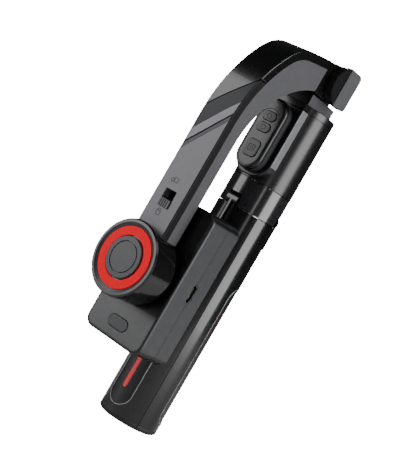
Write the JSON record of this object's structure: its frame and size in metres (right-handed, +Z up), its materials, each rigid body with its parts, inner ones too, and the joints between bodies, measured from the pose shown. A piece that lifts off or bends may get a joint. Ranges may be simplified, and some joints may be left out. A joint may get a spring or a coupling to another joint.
{
  "type": "camera gimbal",
  "caption": "Folded handheld phone gimbal: hooked arm with roll motor and phone holder, telescopic rod, tripod-leg handle and clip-in remote.",
  "frame": {"origin": "centre of the handle's flat bottom, on the rod's axis", "axes": "+Z up the rod's axis, -Y the front, where the folded arm and its motor hang, +X the side of the charging socket and the fold lever"},
  "size_m": [0.0384, 0.0764, 0.1969],
  "materials": {
    "rod_metal": "drawn and satin anodised",
    "satin_black": "satin moulded",
    "gloss_black": "polished moulded",
    "satin_grey": "fine matt paint",
    "pin_steel": "ground",
    "port_steel": "nickel plated",
    "rotor_steel": "turned",
    "copper": "enamelled copper winding",
    "rubber": "soft moulded",
    "red_light": "translucent moulded",
    "red_gloss": "polished lacquer",
    "circuit_green": "solder mask",
    "battery_wrap": "shrink wrap"
  },
  "bodies": {
    "handle": {"outer_tube": "rod_metal", "base_plug": "satin_black", "collar": "satin_black", "leg_pins": "pin_steel"},
    "leg_1": {"leg_1": "satin_black", "leg_foot_1": "rubber", "leg_pad_1": "gloss_black", "leg_strip_1": "red_light"},
    "leg_2": {"leg_2": "satin_black", "leg_foot_2": "rubber", "leg_pad_2": "gloss_black", "leg_strip_2": "red_light"},
    "leg_3": {"leg_3": "satin_black", "leg_foot_3": "rubber", "leg_pad_3": "gloss_black", "leg_strip_3": "red_light"},
    "stage_1": {"rod_stage_1": "rod_metal"},
    "stage_2": {"rod_stage_2": "rod_metal"},
    "stage_3": {"rod_stage_3": "rod_metal"},
    "stage_4": {"rod_stage_4": "rod_metal"},
    "head": {"rod_stage_5": "rod_metal", "head_sleeve": "satin_black", "head_core": "satin_black", "head_cap": "satin_black", "neck_tongue": "satin_grey"},
    "remote": {"remote_front_shell": "gloss_black", "remote_back_shell": "satin_grey", "remote_board": "circuit_green", "remote_cell": "pin_steel"},
    "remote_key_1": {"remote_key_1": "satin_grey"},
    "remote_key_2": {"remote_key_2": "satin_grey"},
    "remote_key_3": {"remote_key_3": "satin_grey"},
    "arm": {"arm_front_cover": "satin_grey", "arm_top_cover": "gloss_black", "arm_rear_shell": "satin_grey", "hinge_yoke": "gloss_black", "fold_bolt": "pin_steel", "motor_housing": "gloss_black", "motor_face_ring": "satin_grey", "motor_red_ring": "red_gloss", "motor_hub": "satin_grey", "motor_bearings": "pin_steel", "motor_stator": "copper"},
    "fold_lever": {"fold_lever": "satin_black"},
    "roll_lock": {"lock_slider": "gloss_black"},
    "phone_holder": {"motor_rotor": "rotor_steel", "mount_front_shell": "gloss_black", "mount_face_plate": "satin_grey", "mount_rear_shell": "satin_grey", "charge_port": "port_steel", "control_board": "circuit_green", "battery": "battery_wrap", "jaw_springs": "pin_steel"},
    "function_key": {"function_key": "satin_grey"},
    "upper_jaw": {"upper_jaw": "pin_steel"},
    "lower_jaw": {"lower_jaw": "pin_steel"},
    "upper_claw": {"upper_claw": "satin_grey", "upper_claw_cushion": "rubber"},
    "lower_claw": {"lower_claw": "satin_grey", "lower_claw_cushion": "rubber"}
  },
  "joints": [
    {"name": "leg_1_swing", "type": "hinge", "parent": "handle", "child": "leg_1", "pos_m": [0, -0.0125, 0.1166], "axis": [-1, 0, 0], "range_deg": [0, 70]},
    {"name": "leg_2_swing", "type": "hinge", "parent": "handle", "child": "leg_2", "pos_m": [0.01083, 0.00625, 0.1166], "axis": [0.5, -0.866, 0], "range_deg": [0, 70]},
    {"name": "leg_3_swing", "type": "hinge", "parent": "handle", "child": "leg_3", "pos_m": [-0.01083, 0.00625, 0.1166], "axis": [0.5, 0.866, 0], "range_deg": [0, 70]},
    {"name": "stage_1_slide", "type": "slide", "parent": "handle", "child": "stage_1", "axis": [0, 0, 1], "range_m": [0, 0.11]},
    {"name": "stage_2_slide", "type": "slide", "parent": "stage_1", "child": "stage_2", "axis": [0, 0, 1], "range_m": [0, 0.11]},
    {"name": "stage_3_slide", "type": "slide", "parent": "stage_2", "child": "stage_3", "axis": [0, 0, 1], "range_m": [0, 0.11]},
    {"name": "stage_4_slide", "type": "slide", "parent": "stage_3", "child": "stage_4", "axis": [0, 0, 1], "range_m": [0, 0.11]},
    {"name": "stage_5_slide", "type": "slide", "parent": "stage_4", "child": "head", "axis": [0, 0, 1], "range_m": [0, 0.11]},
    {"name": "arm_fold", "type": "hinge", "parent": "head", "child": "arm", "pos_m": [0, 0, 0.1873], "axis": [-1, 0, 0], "range_deg": [0, 180]},
    {"name": "fold_lever_turn", "type": "hinge", "parent": "arm", "child": "fold_lever", "pos_m": [0.0092, 0, 0.1873], "axis": [1, 0, 0], "range_deg": [0, 90]},
    {"name": "roll_lock_slide", "type": "slide", "parent": "arm", "child": "roll_lock", "axis": [0, 0, 1], "range_m": [0, 0.0045]},
    {"name": "motor_roll", "type": "hinge", "parent": "arm", "child": "phone_holder", "pos_m": [0, -0.0415, 0.069], "axis": [0, 1, 0], "range_deg": [-160, 160]},
    {"name": "function_key_press", "type": "slide", "parent": "phone_holder", "child": "function_key", "axis": [0, 1, 0], "range_m": [0, 0.0008], "stiffness_N_per_m": 900},
    {"name": "upper_jaw_slide", "type": "slide", "parent": "phone_holder", "child": "upper_jaw", "axis": [0, 0, 1], "range_m": [0, 0.0125], "stiffness_N_per_m": 60, "springref_m": -0.02},
    {"name": "lower_jaw_slide", "type": "slide", "parent": "phone_holder", "child": "lower_jaw", "axis": [0, 0, -1], "range_m": [0, 0.0125]},
    {"name": "upper_claw_fold", "type": "hinge", "parent": "upper_jaw", "child": "upper_claw", "pos_m": [0, -0.02075, 0.1026], "axis": [1, 0, 0], "range_deg": [0, 90]},
    {"name": "lower_claw_fold", "type": "hinge", "parent": "lower_jaw", "child": "lower_claw", "pos_m": [0, -0.02075, 0.0354], "axis": [-1, 0, 0], "range_deg": [0, 90]},
    {"name": "remote_unclip", "type": "slide", "parent": "head", "child": "remote", "axis": [0, -1, 0], "range_m": [0, 0.008]},
    {"name": "remote_key_1_press", "type": "slide", "parent": "remote", "child": "remote_key_1", "axis": [0, 1, 0], "range_m": [0, 0.0005], "stiffness_N_per_m": 900},
    {"name": "remote_key_2_press", "type": "slide", "parent": "remote", "child": "remote_key_2", "axis": [0, 1, 0], "range_m": [0, 0.0005], "stiffness_N_per_m": 900},
    {"name": "remote_key_3_press", "type": "slide", "parent": "remote", "child": "remote_key_3", "axis": [0, 1, 0], "range_m": [0, 0.0005], "stiffness_N_per_m": 900}
  ],
  "couplings": [
    {"joint": "lower_jaw_slide", "follows": "upper_jaw_slide", "ratio": 1},
    {"joint": "upper_claw_fold", "follows": "arm_fold", "ratio": 0.5},
    {"joint": "lower_claw_fold", "follows": "arm_fold", "ratio": 0.5},
    {"joint": "leg_1_swing", "follows": "arm_fold", "ratio": 0.38889}
  ]
}
